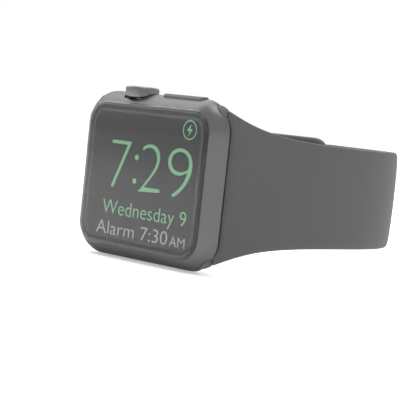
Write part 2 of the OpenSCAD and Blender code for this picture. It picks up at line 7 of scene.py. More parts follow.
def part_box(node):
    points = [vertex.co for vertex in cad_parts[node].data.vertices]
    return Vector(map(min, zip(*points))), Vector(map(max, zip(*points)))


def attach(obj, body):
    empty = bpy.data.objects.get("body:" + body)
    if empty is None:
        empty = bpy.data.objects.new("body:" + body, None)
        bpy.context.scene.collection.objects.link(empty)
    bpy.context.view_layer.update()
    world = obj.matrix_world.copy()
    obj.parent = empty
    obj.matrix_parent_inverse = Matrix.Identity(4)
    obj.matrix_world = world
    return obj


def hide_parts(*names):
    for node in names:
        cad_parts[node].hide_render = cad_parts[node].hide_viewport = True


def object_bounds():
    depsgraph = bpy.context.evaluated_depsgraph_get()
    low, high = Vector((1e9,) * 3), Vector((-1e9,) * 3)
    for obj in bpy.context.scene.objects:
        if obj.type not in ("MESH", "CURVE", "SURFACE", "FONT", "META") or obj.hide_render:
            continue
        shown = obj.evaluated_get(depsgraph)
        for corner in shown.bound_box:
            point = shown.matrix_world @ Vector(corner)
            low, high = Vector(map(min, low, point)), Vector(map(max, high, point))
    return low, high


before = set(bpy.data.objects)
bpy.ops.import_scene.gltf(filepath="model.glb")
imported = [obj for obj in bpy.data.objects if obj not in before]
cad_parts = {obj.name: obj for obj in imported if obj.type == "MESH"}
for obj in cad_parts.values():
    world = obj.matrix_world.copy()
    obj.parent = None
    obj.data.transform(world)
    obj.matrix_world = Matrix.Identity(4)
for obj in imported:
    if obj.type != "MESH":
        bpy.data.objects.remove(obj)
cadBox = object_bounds()
print("frame loaded:", len(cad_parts), "nodes")

scene = bpy.context.scene
metre = 0.001                      # all shapes below are drawn in millimetres
weldGap = 0.0004                   # corners closer than this become one

# Main planes of the watch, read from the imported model
caseLow, caseHigh = [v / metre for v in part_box("case_shell")]
glassLow, glassHigh = [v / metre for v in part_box("front_glass")]
midY = caseHigh.y - 3.6            # widest plane of the case
seamY = caseLow.y                  # where the glass meets the case
backY = caseHigh.y                 # flat back of the case
halfX = caseHigh.x
halfZ = caseHigh.z


def newObject(name, bm, smoothAngle=35):
    mesh = bpy.data.meshes.new(name)
    bm.to_mesh(mesh)
    bm.free()
    mesh.polygons.foreach_set("use_smooth", [True] * len(mesh.polygons))
    mesh.set_sharp_from_angle(angle=math.radians(smoothAngle))
    piece = bpy.data.objects.new(name, mesh)
    scene.collection.objects.link(piece)
    return piece


def toMetres(piece):
    piece.data.transform(Matrix.Scale(metre, 4))
    return piece


def placePiece(piece, body, finish, slot, *nodes):
    # Scales the finished shape, gives it its finish and fixes it to its body
    toMetres(piece)
    piece.data.materials.clear()
    piece.data.materials.append(finish)
    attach(piece, body)
    if nodes:
        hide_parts(*nodes)
    return piece


def closeUp(bm):
    bmesh.ops.remove_doubles(bm, verts=bm.verts, dist=weldGap)
    bmesh.ops.recalc_face_normals(bm, faces=bm.faces)


def smoothRun(points, steps):
    # A smooth run through [a, b] points, steps segments between each two
    run = []
    for i in range(len(points) - 1):
        p0 = Vector(points[max(i - 1, 0)])
        p1, p2 = Vector(points[i]), Vector(points[i + 1])
        p3 = Vector(points[min(i + 2, len(points) - 1)])
        for k in range(steps):
            t = k / steps
            run.append(0.5 * ((2 * p1) + (p2 - p0) * t + (2 * p0 - 5 * p1 + 4 * p2 - p3) * t * t
                              + (3 * p1 - p0 - 3 * p2 + p3) * t ** 3))
    run.append(Vector(points[-1]))
    return run


def roundedFace(bm, hx, hz, radius, y, segments=14, sideCuts=0):
    # A flat rounded rectangle in X and Z at depth y
    corners = [bm.verts.new((sx * hx, y, sz * hz)) for sx, sz in ((-1, -1), (1, -1), (1, 1), (-1, 1))]
    face = bm.faces.new(corners)
    if radius > 0:
        bmesh.ops.bevel(bm, geom=corners, offset=radius, offset_type="OFFSET", segments=segments,
                        profile=0.5, affect="VERTICES", material=-1)
        bm.faces.ensure_lookup_table()
        face = [f for f in bm.faces if abs(f.calc_center_median().y - y) < 1e-5][-1]
    if sideCuts:
        longEdges = [e for e in face.edges if e.calc_length() > 5]
        bmesh.ops.subdivide_edges(bm, edges=longEdges, cuts=sideCuts)
        face = max(bm.faces, key=lambda f: f.calc_area())
    return face


def stepIn(bm, face, inset, y):
    if inset > 1e-6:
        bmesh.ops.inset_region(bm, faces=[face], thickness=inset, use_even_offset=True, use_boundary=True)
        for v in face.verts:
            v.co.y = y
        return face
    made = bmesh.ops.extrude_face_region(bm, geom=[face])["geom"]
    top = [g for g in made if isinstance(g, bmesh.types.BMFace)][0]
    for v in top.verts:
        v.co.y = y
    return top


def insetSlab(name, hx, hz, radius, run, closing=None, segments=14, sideCuts=0):
    # A slab whose edge follows run, [inset, y] points from the widest outline, and then closing
    bm = bmesh.new()
    for part in (run, closing):
        if part is None:
            continue
        side = bmesh.new()
        face = roundedFace(side, hx, hz, radius, part[0][1], segments, sideCuts)
        for before, after in zip(part, part[1:]):
            face = stepIn(side, face, after[0] - before[0], after[1])
        holder = bpy.data.meshes.new("half")
        side.to_mesh(holder)
        side.free()
        bm.from_mesh(holder)
        bpy.data.meshes.remove(holder)
    closeUp(bm)
    return newObject(name, bm)


def thicken(bm, faces, move):
    made = bmesh.ops.extrude_face_region(bm, geom=faces)["geom"]
    bmesh.ops.translate(bm, verts=[g for g in made if isinstance(g, bmesh.types.BMVert)], vec=move)


def pillFace(bm, length, radius, segments=12):
    # A flat pill lying along X at the origin, in X and Y
    bmesh.ops.create_circle(bm, cap_ends=True, segments=4 * segments, radius=radius)
    for v in bm.verts:
        v.co.x += math.copysign(length / 2 - radius, v.co.x) if abs(v.co.x) > 1e-6 else 0
    return list(bm.faces)[0]


def prism(name, outline, depth, matrix):
    # Runs a flat face, made by outline(bm), along its own Z for depth, and places it
    bm = bmesh.new()
    thicken(bm, [outline(bm)], (0, 0, depth))
    bmesh.ops.transform(bm, matrix=matrix, verts=bm.verts)
    closeUp(bm)
    return newObject(name, bm)


def discFace(radius, segments=64):
    def outline(bm):
        bmesh.ops.create_circle(bm, cap_ends=True, segments=segments, radius=radius)
        return list(bm.faces)[0]
    return outline


def pillOutline(length, radius):
    def outline(bm):
        return pillFace(bm, length, radius)
    return outline


def block(name, x, y, z):
    bm = bmesh.new()
    bmesh.ops.create_cube(bm, size=1)
    bmesh.ops.scale(bm, vec=(x[1] - x[0], y[1] - y[0], z[1] - z[0]), verts=bm.verts)
    bmesh.ops.translate(bm, vec=((x[0] + x[1]) / 2, (y[0] + y[1]) / 2, (z[0] + z[1]) / 2), verts=bm.verts)
    return newObject(name, bm)


def slabBetween(name, hx, hz, radius, y0, y1, segments=10):
    return insetSlab(name, hx, hz, radius, [[0, y0], [0, y1]], segments=segments)


def spun(name, run, matrix, segments=64):
    # Turns [radius, height] points round Z, closed where the radius is 0, and places the shape
    bm = bmesh.new()
    points = [bm.verts.new((p[0], 0, p[1])) for p in run]
    edges = [bm.edges.new(pair) for pair in zip(points, points[1:])]
    bmesh.ops.spin(bm, geom=points + edges, cent=(0, 0, 0), axis=(0, 0, 1), angle=math.tau,
                   steps=segments, use_merge=True)
    bmesh.ops.remove_doubles(bm, verts=bm.verts, dist=weldGap)
    bmesh.ops.transform(bm, matrix=matrix, verts=bm.verts)
    bmesh.ops.recalc_face_normals(bm, faces=bm.faces)
    return newObject(name, bm)


def cut(piece, *tools, operation="DIFFERENCE"):
    # Cuts each tool from the piece, or joins or intersects it, and removes the tool
    for tool in tools:
        mod = piece.modifiers.new("cut", "BOOLEAN")
        mod.operation = operation
        mod.solver = "MANIFOLD"
        mod.object = tool
        bpy.context.view_layer.update()
        done = bpy.data.meshes.new_from_object(piece.evaluated_get(bpy.context.evaluated_depsgraph_get()))
        piece.modifiers.clear()
        if len(done.polygons) == 0:
            raise RuntimeError("cutting " + piece.name + " with " + tool.name + " left nothing")
        piece.data = done
        bpy.data.objects.remove(tool)
    return piece


def resharpen(piece, angle=35):
    bm = bmesh.new()
    bm.from_mesh(piece.data)
    bmesh.ops.remove_doubles(bm, verts=bm.verts, dist=weldGap)
    bmesh.ops.dissolve_degenerate(bm, edges=bm.edges, dist=weldGap)
    bmesh.ops.recalc_face_normals(bm, faces=bm.faces)
    bm.to_mesh(piece.data)
    bm.free()
    piece.data.polygons.foreach_set("use_smooth", [True] * len(piece.data.polygons))
    piece.data.set_sharp_from_angle(angle=math.radians(angle))
    return piece


def alongY(x, y, z):
    # Stands a shape's Z along +Y at a place
    return Matrix.Translation((x, y, z)) @ Matrix.Rotation(-math.pi / 2, 4, "X")


def upright(x, y, z):
    return Matrix.Translation((x, y, z))


def startGroup(name, inputs, outputs):
    group = bpy.data.node_groups.new(name, "ShaderNodeTree")
    for label, kind, value in inputs:
        socket = group.interface.new_socket(label, in_out="INPUT", socket_type=kind)
        if value is not None:
            socket.default_value = value
    for label, kind in outputs:
        group.interface.new_socket(label, in_out="OUTPUT", socket_type=kind)
    return group, group.nodes.new("NodeGroupInput"), group.nodes.new("NodeGroupOutput")


def addNode(tree, kind, **values):
    node = tree.nodes.new(kind)
    for key, value in values.items():
        if key in ("operation", "data_type", "blend_type", "noise_dimensions", "feature", "wave_type",
                   "bands_direction", "samples"):
            setattr(node, key, value)
        else:
            node.inputs[key.replace("_", " ")].default_value = value
    return node


def makeGrainGroup():
    # Fine bead-blasted or moulded grain: a height and a mask
    group, given, out = startGroup("surfaceGrain", [("Vector", "NodeSocketVector", None),
        ("Scale", "NodeSocketFloat", 9000.0), ("Coarse Share", "NodeSocketFloat", 0.3)],
        [("Height", "NodeSocketFloat"), ("Mask", "NodeSocketFloat")])
    fine = addNode(group, "ShaderNodeTexNoise", Detail=2.0, Roughness=0.6)
    coarse = addNode(group, "ShaderNodeTexNoise", Detail=1.0)
    third = addNode(group, "ShaderNodeMath", operation="MULTIPLY")
    third.inputs[1].default_value = 0.27
    mix = addNode(group, "ShaderNodeMix", data_type="FLOAT")
    spread = addNode(group, "ShaderNodeMapRange")
    spread.inputs["From Min"].default_value = 0.3
    spread.inputs["From Max"].default_value = 0.7
    link = group.links.new
    link(given.outputs["Vector"], fine.inputs["Vector"])
    link(given.outputs["Vector"], coarse.inputs["Vector"])
    link(given.outputs["Scale"], fine.inputs["Scale"])
    link(given.outputs["Scale"], third.inputs[0])
    link(third.outputs[0], coarse.inputs["Scale"])
    link(given.outputs["Coarse Share"], mix.inputs[0])
    link(fine.outputs["Fac"], mix.inputs[2])
    link(coarse.outputs["Fac"], mix.inputs[3])
    link(mix.outputs[0], out.inputs["Height"])
    link(mix.outputs[0], spread.inputs["Value"])
    link(spread.outputs[0], out.inputs["Mask"])
    return group


def makeHandlingGroup():
    # Soft smudges and wipe marks from handling, as a mask from 0 to 1
    group, given, out = startGroup("handlingMarks", [("Vector", "NodeSocketVector", None),
        ("Scale", "NodeSocketFloat", 90.0), ("Stretch", "NodeSocketVector", (1.0, 1.0, 1.0))],
        [("Mask", "NodeSocketFloat")])
    pull = addNode(group, "ShaderNodeMapping")
    cloud = addNode(group, "ShaderNodeTexNoise", Detail=4.0, Roughness=0.55, Distortion=0.6)
    spread = addNode(group, "ShaderNodeMapRange")
    spread.inputs["From Min"].default_value = 0.36
    spread.inputs["From Max"].default_value = 0.66
    link = group.links.new
    link(given.outputs["Vector"], pull.inputs["Vector"])
    link(given.outputs["Stretch"], pull.inputs["Scale"])
    link(pull.outputs[0], cloud.inputs["Vector"])
    link(given.outputs["Scale"], cloud.inputs["Scale"])
    link(cloud.outputs["Fac"], spread.inputs["Value"])
    link(spread.outputs[0], out.inputs["Mask"])
    return group


def makeToneGroup():
    # Varies a colour gently between two tones by a mask
    group, given, out = startGroup("toneDrift", [("Mask", "NodeSocketFloat", 0.5),
        ("First Tone", "NodeSocketColor", (0.5, 0.5, 0.5, 1)),
        ("Second Tone", "NodeSocketColor", (0.6, 0.6, 0.6, 1))],
        [("Color", "NodeSocketColor")])
    mix = addNode(group, "ShaderNodeMix", data_type="RGBA")
    link = group.links.new
    link(given.outputs["Mask"], mix.inputs[0])
    link(given.outputs["First Tone"], mix.inputs[6])
    link(given.outputs["Second Tone"], mix.inputs[7])
    link(mix.outputs[2], out.inputs["Color"])
    return group


def makeRoughnessGroup():
    # Varies the gloss between two values by a mask
    group, given, out = startGroup("roughnessDrift", [("Mask", "NodeSocketFloat", 0.5),
        ("Smooth", "NodeSocketFloat", 0.3), ("Rough", "NodeSocketFloat", 0.5)],
        [("Roughness", "NodeSocketFloat")])
    spread = addNode(group, "ShaderNodeMapRange")
    link = group.links.new
    link(given.outputs["Mask"], spread.inputs["Value"])
    link(given.outputs["Smooth"], spread.inputs["To Min"])
    link(given.outputs["Rough"], spread.inputs["To Max"])
    link(spread.outputs[0], out.inputs["Roughness"])
    return group


grainGroup = makeGrainGroup()
handlingGroup = makeHandlingGroup()
toneGroup = makeToneGroup()
roughnessGroup = makeRoughnessGroup()


def placeGroup(tree, group, **values):
    node = tree.nodes.new("ShaderNodeGroup")
    node.node_tree = group
    for key, value in values.items():
        node.inputs[key.replace("_", " ")].default_value = value
    return node


def grey(value, warm=0.0):
    return (value * (1 + warm), value, value * (1 - warm), 1)


def makeFinish(name, tones, roughness, metallic=0.0, grain=9000, bump=0.1, markScale=90,
               stretch=(1, 1, 1), softEdge=0.0, **sockets):
    # One finish: grain for the bump, marks for the tone and the gloss
    finish = bpy.data.materials.new(name)
    finish.use_nodes = True
    tree = finish.node_tree
    link = tree.links.new
    shader = tree.nodes["Principled BSDF"]
    shader.inputs["Metallic"].default_value = metallic
    for key, value in sockets.items():
        shader.inputs[key.replace("_", " ")].default_value = value
    place = tree.nodes.new("ShaderNodeTexCoord")
    grainNode = placeGroup(tree, grainGroup, Scale=grain)
    marks = placeGroup(tree, handlingGroup, Scale=markScale, Stretch=stretch)
    tone = placeGroup(tree, toneGroup, First_Tone=tones[0], Second_Tone=tones[1])
    gloss = placeGroup(tree, roughnessGroup, Smooth=roughness[0], Rough=roughness[1])
    link(place.outputs["Object"], grainNode.inputs["Vector"])
    link(place.outputs["Object"], marks.inputs["Vector"])
    link(marks.outputs["Mask"], tone.inputs["Mask"])
    link(marks.outputs["Mask"], gloss.inputs["Mask"])
    link(tone.outputs["Color"], shader.inputs["Base Color"])
    link(gloss.outputs["Roughness"], shader.inputs["Roughness"])
    raised = addNode(tree, "ShaderNodeBump", Strength=bump, Distance=0.00003)
    link(grainNode.outputs["Height"], raised.inputs["Height"])
    if softEdge:
        edge = addNode(tree, "ShaderNodeBevel", samples=6, Radius=softEdge * metre)
        link(edge.outputs["Normal"], raised.inputs["Normal"])
    link(raised.outputs["Normal"], shader.inputs["Normal"])
    return finish


def makeGlass(name, tint, roughness, **sockets):
    # Clear or smoked glass, its gloss broken a little by finger marks
    finish = bpy.data.materials.new(name)
    finish.use_nodes = True
    tree = finish.node_tree
    shader = tree.nodes["Principled BSDF"]
    shader.inputs["Base Color"].default_value = tint
    shader.inputs["Transmission Weight"].default_value = 1.0
    for key, value in sockets.items():
        shader.inputs[key.replace("_", " ")].default_value = value
    place = tree.nodes.new("ShaderNodeTexCoord")
    marks = placeGroup(tree, handlingGroup, Scale=60.0, Stretch=(1, 1, 2))
    gloss = placeGroup(tree, roughnessGroup, Smooth=roughness[0], Rough=roughness[1])
    tree.links.new(place.outputs["Object"], marks.inputs["Vector"])
    tree.links.new(marks.outputs["Mask"], gloss.inputs["Mask"])
    tree.links.new(gloss.outputs["Roughness"], shader.inputs["Roughness"])
    # Lamps light what lies behind the glass without casting its shadow
    rays = tree.nodes.new("ShaderNodeLightPath")
    clear = tree.nodes.new("ShaderNodeBsdfTransparent")
    mix = tree.nodes.new("ShaderNodeMixShader")
    tree.links.new(rays.outputs["Is Shadow Ray"], mix.inputs[0])
    tree.links.new(shader.outputs["BSDF"], mix.inputs[1])
    tree.links.new(clear.outputs["BSDF"], mix.inputs[2])
    tree.links.new(mix.outputs["Shader"], tree.nodes["Material Output"].inputs["Surface"])
    return finish


def makeGlow(name, colour, strength):
    # Lit marks on the screen, drifting a little in brightness
    finish = bpy.data.materials.new(name)
    finish.use_nodes = True
    tree = finish.node_tree
    shader = tree.nodes["Principled BSDF"]
    shader.inputs["Roughness"].default_value = 0.6
    shader.inputs["Specular IOR Level"].default_value = 0.0
    shader.inputs["Emission Strength"].default_value = strength
    place = tree.nodes.new("ShaderNodeTexCoord")
    marks = placeGroup(tree, handlingGroup, Scale=40.0)
    dimmer = tuple(c * 0.94 for c in colour[:3]) + (1,)
    tone = placeGroup(tree, toneGroup, First_Tone=colour, Second_Tone=dimmer)
    base = placeGroup(tree, toneGroup, First_Tone=grey(0.03), Second_Tone=grey(0.035))
    tree.links.new(place.outputs["Object"], marks.inputs["Vector"])
    tree.links.new(marks.outputs["Mask"], tone.inputs["Mask"])
    tree.links.new(marks.outputs["Mask"], base.inputs["Mask"])
    tree.links.new(tone.outputs["Color"], shader.inputs["Emission Color"])
    tree.links.new(base.outputs["Color"], shader.inputs["Base Color"])
    return finish


finishes = {
    "caseAluminium": makeFinish("caseAluminium", (grey(0.128), grey(0.138)), (0.34, 0.4), 1.0,
                                grain=14000, bump=0.12, markScale=70, softEdge=0.12,
                                Specular_Tint=grey(0.5)),
    "buttonAluminium": makeFinish("buttonAluminium", (grey(0.13), grey(0.14)), (0.32, 0.38), 1.0,
                                  grain=14000, bump=0.1, markScale=90, softEdge=0.1,
                                  Specular_Tint=grey(0.35)),
    "crownAluminium": makeFinish("crownAluminium", (grey(0.17), grey(0.19)), (0.26, 0.34), 1.0,
                                 grain=9000, bump=0.06, stretch=(1, 1, 0.1), softEdge=0.04),
    "strapRubber": makeFinish("strapRubber", (grey(0.074), grey(0.08)), (0.62, 0.7), 0.0,
                              grain=7000, bump=0.22, markScale=45, Specular_IOR_Level=0.3,
                              Sheen_Weight=0.06, Sheen_Roughness=0.5),
    "gasketBlack": makeFinish("gasketBlack", (grey(0.02), grey(0.028)), (0.55, 0.7), bump=0.15),
    "maskPrint": makeFinish("maskPrint", (grey(0.007), grey(0.008)), (0.5, 0.55), bump=0.0,
                            Specular_IOR_Level=0.0),
    "displayBlack": makeFinish("displayBlack", (grey(0.004), grey(0.005)), (0.5, 0.55), bump=0.0,
                               Specular_IOR_Level=0.0),
    "shieldSteel": makeFinish("shieldSteel", (grey(0.5), grey(0.55)), (0.25, 0.4), 1.0,
                              stretch=(0.1, 1, 1), bump=0.05),
    "flexCopper": makeFinish("flexCopper", ((0.62, 0.3, 0.1, 1), (0.5, 0.22, 0.07, 1)), (0.3, 0.45),
                             bump=0.05, Coat_Weight=0.4),
    "batteryFoil": makeFinish("batteryFoil", (grey(0.5), grey(0.58)), (0.28, 0.42), 0.85,
                              grain=3000, bump=0.2),
    "boardResin": makeFinish("boardResin", ((0.012, 0.06, 0.035, 1), (0.018, 0.075, 0.045, 1)),
                             (0.3, 0.42), grain=3500, bump=0.12, Coat_Weight=0.3),
    "tungsten": makeFinish("tungsten", (grey(0.22), grey(0.26)), (0.4, 0.5), 1.0, bump=0.15),
    "springSteel": makeFinish("springSteel", (grey(0.55, 0.02), grey(0.6, 0.02)), (0.2, 0.3), 1.0,
                              stretch=(0.1, 1, 1), bump=0.04),
    "blackPlastic": makeFinish("blackPlastic", (grey(0.02), grey(0.03)), (0.45, 0.55), bump=0.12),
    "speakerGauze": makeFinish("speakerGauze", (grey(0.035), grey(0.05)), (0.4, 0.5), 0.8, bump=0.1),
    "microphoneCan": makeFinish("microphoneCan", (grey(0.55, 0.1), grey(0.6, 0.1)), (0.3, 0.4), 1.0,
                                bump=0.06),
    "backComposite": makeFinish("backComposite", (grey(0.055), grey(0.062)), (0.32, 0.42),
                                grain=11000, bump=0.06, Coat_Weight=0.25),
    "backCrystal": makeFinish("backCrystal", (grey(0.02), grey(0.024)), (0.06, 0.1),
                              bump=0.01, markScale=60, Coat_Weight=0.5),
    "ledLens": makeFinish("ledLens", ((0.5, 0.6, 0.25, 1), (0.55, 0.66, 0.3, 1)), (0.12, 0.2), bump=0.02),
    "ferrite": makeFinish("ferrite", (grey(0.035), grey(0.05)), (0.6, 0.75), bump=0.3, grain=4000),
    "coilCopper": makeFinish("coilCopper", ((0.7, 0.3, 0.14, 1), (0.78, 0.36, 0.18, 1)), (0.25, 0.35),
                             1.0, grain=5000, bump=0.12),
    "magnetNickel": makeFinish("magnetNickel", (grey(0.62, 0.02), grey(0.68, 0.02)), (0.15, 0.25), 1.0,
                               bump=0.03),
    "bushingBrass": makeFinish("bushingBrass", ((0.62, 0.42, 0.16, 1), (0.68, 0.47, 0.2, 1)),
                               (0.22, 0.32), 1.0, stretch=(1, 1, 0.1), bump=0.04),
    "turnedSteel": makeFinish("turnedSteel", (grey(0.52), grey(0.6)), (0.16, 0.26), 1.0,
                              stretch=(1, 1, 0.08), bump=0.04),
    "crownDisc": makeFinish("crownDisc", (grey(0.05), grey(0.06)), (0.16, 0.24), bump=0.02,
                            Coat_Weight=0.6),
    "latchSteel": makeFinish("latchSteel", (grey(0.4), grey(0.46)), (0.22, 0.32), 1.0,
                             stretch=(1, 0.1, 1), bump=0.05),
    "pinSteel": makeFinish("pinSteel", (grey(0.42), grey(0.48)), (0.2, 0.3), 1.0, bump=0.05,
                           softEdge=0.06),
}
finishes["coverGlass"] = makeGlass("coverGlass", grey(0.97), (0.0, 0.012), IOR=1.44)
finishes["windowGlass"] = makeGlass("windowGlass", (0.25, 0.42, 0.34, 1), (0.03, 0.06), IOR=1.5)
print("finishes made:", len(finishes))


caseSpec = {
    "corner": 7.3,
    "front": [[0, 0], [0.1, -0.6], [0.32, -1.2], [0.65, -1.8], [1.1, -2.4], [1.7, -3.0], [2.45, -3.6]],
    "back": [[0, 0], [0.3, 0.7], [0.85, 1.4], [1.6, 2.1], [2.5, 2.8], [3.3, 3.3], [4.2, 3.6]],
    "cornerSegments": 18,
    "sideCuts": 12,
    "runSteps": 3,
    "seatInset": 0.9,              # ledge that carries the glass
    "cavityHalf": [16.4, 15.9],
    "coverHalf": [14.2, 13.2],
    "coverCorner": 6.0,
}
openingSpec = {
    "crownWellR": 3.8, "crownBoreR": 2.05, "collarR": 2.85, "collarHigh": 0.4,
    "stemBoreR": 0.85, "buttonPlay": 0.05, "micX": -3, "micR": 0.45,
    "speakerX": [5, 9], "speakerLength": 3.2, "speakerR": 0.55,
}
crownX = -6.6
crownSeatZ = 16.75
buttonX = 7.3
buttonSize = {"length": 12.5, "width": 3.0, "seatZ": 16.4, "skirtZ": 16.85, "stemR": 0.8, "stemZ": 14.4,
              "proud": 0.4}
slot = {"x": halfX - 2.65, "y": midY + 0.2, "radius": 1.5, "throat": 1.0, "angle": 40}
latchX = slot["x"] - 0.6
releaseSize = {"length": 6.0, "radius": 0.8, "low": slot["y"] + 1.75}


def caseForm(name, grow=0.0):
    front = [Vector((p[0], midY + p[1])) for p in smoothRun(caseSpec["front"], caseSpec["runSteps"])]
    back = [Vector((p[0], midY + p[1])) for p in smoothRun(caseSpec["back"], caseSpec["runSteps"])]
    return insetSlab(name, halfX + grow, halfZ + grow, caseSpec["corner"] + grow, front, back,
                     caseSpec["cornerSegments"], caseSpec["sideCuts"])


def throatTool(side):
    bm = bmesh.new()
    bmesh.ops.create_cube(bm, size=1)
    bmesh.ops.scale(bm, vec=(8, 2 * slot["throat"], 80), verts=bm.verts)
    bmesh.ops.translate(bm, vec=(4, 0, 0), verts=bm.verts)
    turn = Matrix.Rotation(math.radians(slot["angle"]), 4, "Z")
    flip = Matrix.Scale(side, 4, (1, 0, 0))
    shift = Matrix.Translation((slot["x"], slot["y"], 0))
    bmesh.ops.transform(bm, matrix=flip @ shift @ turn, verts=bm.verts)
    closeUp(bm)
    return newObject("throatTool", bm)


def makeCase():
    shell = caseForm("caseBody")
    seatX = halfX - 2.45 - caseSpec["seatInset"]
    seatZ = halfZ - 2.45 - caseSpec["seatInset"]
    coverX, coverZ = caseSpec["coverHalf"]
    cavityX, cavityZ = caseSpec["cavityHalf"]
    cavity = slabBetween("cavityTool", cavityX, cavityZ, 4.5, seamY + 1.3, backY - 1)
    cut(cavity, block("bossTool", (crownX - 4.6, crownX + 4.6), (seamY - 2, 2), (13.2, 20)))
    cut(shell, slabBetween("seatTool", seatX, seatZ, 3.95, seamY - 1, seamY + 0.9),
        slabBetween("ledgeTool", seatX - 0.9, seatZ - 0.9, 3, seamY + 0.5, seamY + 1.9),
        cavity,
        slabBetween("backTool", coverX - 1.2, coverZ - 1.2, 4.8, backY - 2, backY + 2),
        slabBetween("coverTool", coverX, coverZ, caseSpec["coverCorner"], backY - 0.6, backY + 2))
    for side in (-1, 1):
        cut(shell,
            prism("slotTool", discFace(slot["radius"], 40), 80,
                  upright(side * slot["x"], slot["y"], -40)),
            throatTool(side),
            block("grooveTool", sorted((side * latchX - 0.7, side * latchX + 0.7)),
                  (slot["y"], releaseSize["low"] + 0.05), (-40, 40)),
            prism("releaseTool",
                  pillOutline(releaseSize["length"] + 0.1, releaseSize["radius"] + 0.05), 12,
                  alongY(side * latchX, slot["y"], 0) @ Matrix.Rotation(math.pi / 2, 4, "Z")))
    # A collar round the shaft is left standing in the crown's well, and runs up inside the cap
    hole = openingSpec
    well = prism("crownWell", discFace(hole["crownWellR"]), 6, upright(crownX, midY, crownSeatZ))
    collar = prism("crownCollar", discFace(hole["collarR"]), 1 + hole["collarHigh"],
                   upright(crownX, midY, crownSeatZ - 1))
    cut(collar, prism("collarBore", discFace(hole["crownBoreR"], 40), 4,
                      upright(crownX, midY, crownSeatZ - 2)))
    cut(well, collar)
    outside = -halfZ - 1
    cut(shell, well,
        prism("crownBore", discFace(hole["crownBoreR"], 40), 20, upright(crownX, midY, 5)),
        prism("buttonWell", pillOutline(buttonSize["length"] + 2 * hole["buttonPlay"],
                                        buttonSize["width"] / 2 + hole["buttonPlay"]), 6,
              upright(buttonX, midY, buttonSize["seatZ"])),
        prism("stemBore", discFace(hole["stemBoreR"], 24), 20, upright(buttonX, midY, 5)),
        prism("micHole", discFace(hole["micR"], 24), 6, upright(hole["micX"], midY, outside)))
    for x in hole["speakerX"]:
        cut(shell, prism("speakerSlot", pillOutline(hole["speakerLength"], hole["speakerR"]), 6,
                         upright(x, midY, outside)))
    resharpen(shell, 28)
    placePiece(shell, "case", finishes["caseAluminium"], "case_aluminium", "case_shell")


makeCase()
print("case made")


glassSpec = {
    "corner": 4.85,
    "edge": [[0, 0], [0.06, 0.24], [0.28, 0.5], [0.75, 0.72], [1.5, 0.89], [2.6, 1.0]],
    "rise": 0.9,
    "seatInset": 0.95,
    "depth": 0.7,
}


def makeGlassPiece():
    hx, hz = glassHigh.x, glassHigh.z
    edge = [Vector((p[0], seamY - p[1] * glassSpec["rise"])) for p in smoothRun(glassSpec["edge"], 4)]
    under = [Vector(p) for p in ([0, seamY], [glassSpec["seatInset"], seamY],
                                 [glassSpec["seatInset"], seamY + glassSpec["depth"]])]
    glass = insetSlab("coverGlass", hx, hz, glassSpec["corner"], edge, under, 16, 6)
    placePiece(glass, "case", finishes["coverGlass"], "cover_glass", "front_glass")


makeGlassPiece()

borderSpec = {"outer": [17.7, 14.7, 3.8], "screen": [16.55, 13.45, 2.6], "thickness": 0.06}


def makeBorder():
    outer, inner = borderSpec["outer"], borderSpec["screen"]
    top = seamY + glassSpec["depth"] + 0.01
    border = slabBetween("glassBorder", outer[0], outer[1], outer[2], top, top + borderSpec["thickness"])
    cut(border, slabBetween("windowTool", inner[0], inner[1], inner[2], top - 1, top + 1))
    resharpen(border)
    placePiece(border, "case", finishes["maskPrint"], "gasket_black")


makeBorder()

finishes["clockGreen"] = makeGlow("clockGreen", (0.15, 0.4, 0.21, 1), 1.0)
finishes["alarmGrey"] = makeGlow("alarmGrey", (0.3, 0.3, 0.3, 1), 1.0)

# Each line of the clock face: words, left edge, baseline, letter height, width, thinning, finish
screenSpec = {
    "depth": 0.02,
    "lines": [
        ("clockHour", "7", -10.4, -3.0, 10.4, 6.3, -0.024, "clockGreen"),
        ("clockMinuteTens", "2", -0.6, -3.0, 10.4, 6.6, -0.024, "clockGreen"),
        ("clockMinuteUnits", "9", 7.7, -3.1, 10.5, 7.4, -0.024, "clockGreen"),
        ("weekday", "Wednesday 9", -11.5, -8.8, 3.1, 26.4, -0.008, "clockGreen"),
        ("alarmWord", "Alarm 7:30", -12.9, -13.3, 2.9, 22.8, -0.006, "alarmGrey"),
        ("alarmHalf", "AM", 10.6, -13.3, 2.1, 4.6, -0.006, "alarmGrey"),
    ],
    "colon": {"x": -2.1, "z": [4.2, -0.9], "size": 0.62},
    "icon": {"x": 13.2, "z": 11.4, "radius": 2.05, "line": 0.26,
             "bolt": [(0.35, 1.35, 0), (-0.85, -0.2, 0), (-0.08, -0.2, 0),
                      (-0.35, -1.35, 0), (0.85, 0.22, 0), (0.08, 0.22, 0)]},
}
screenTop = seamY + glassSpec["depth"] - screenSpec["depth"] - 0.01


def screenMatrix(x, z):
    # Turns flat work in X and Y to face the front, at a place on the screen
    return Matrix.Translation((x, screenTop, z)) @ Matrix.Rotation(math.pi / 2, 4, "X")


def placeOnScreen(name, bm, x, z, finish):
    bmesh.ops.transform(bm, matrix=screenMatrix(x, z), verts=bm.verts)
    bmesh.ops.recalc_face_normals(bm, faces=bm.faces)
    return placePiece(newObject(name, bm), "case", finishes[finish], "display")


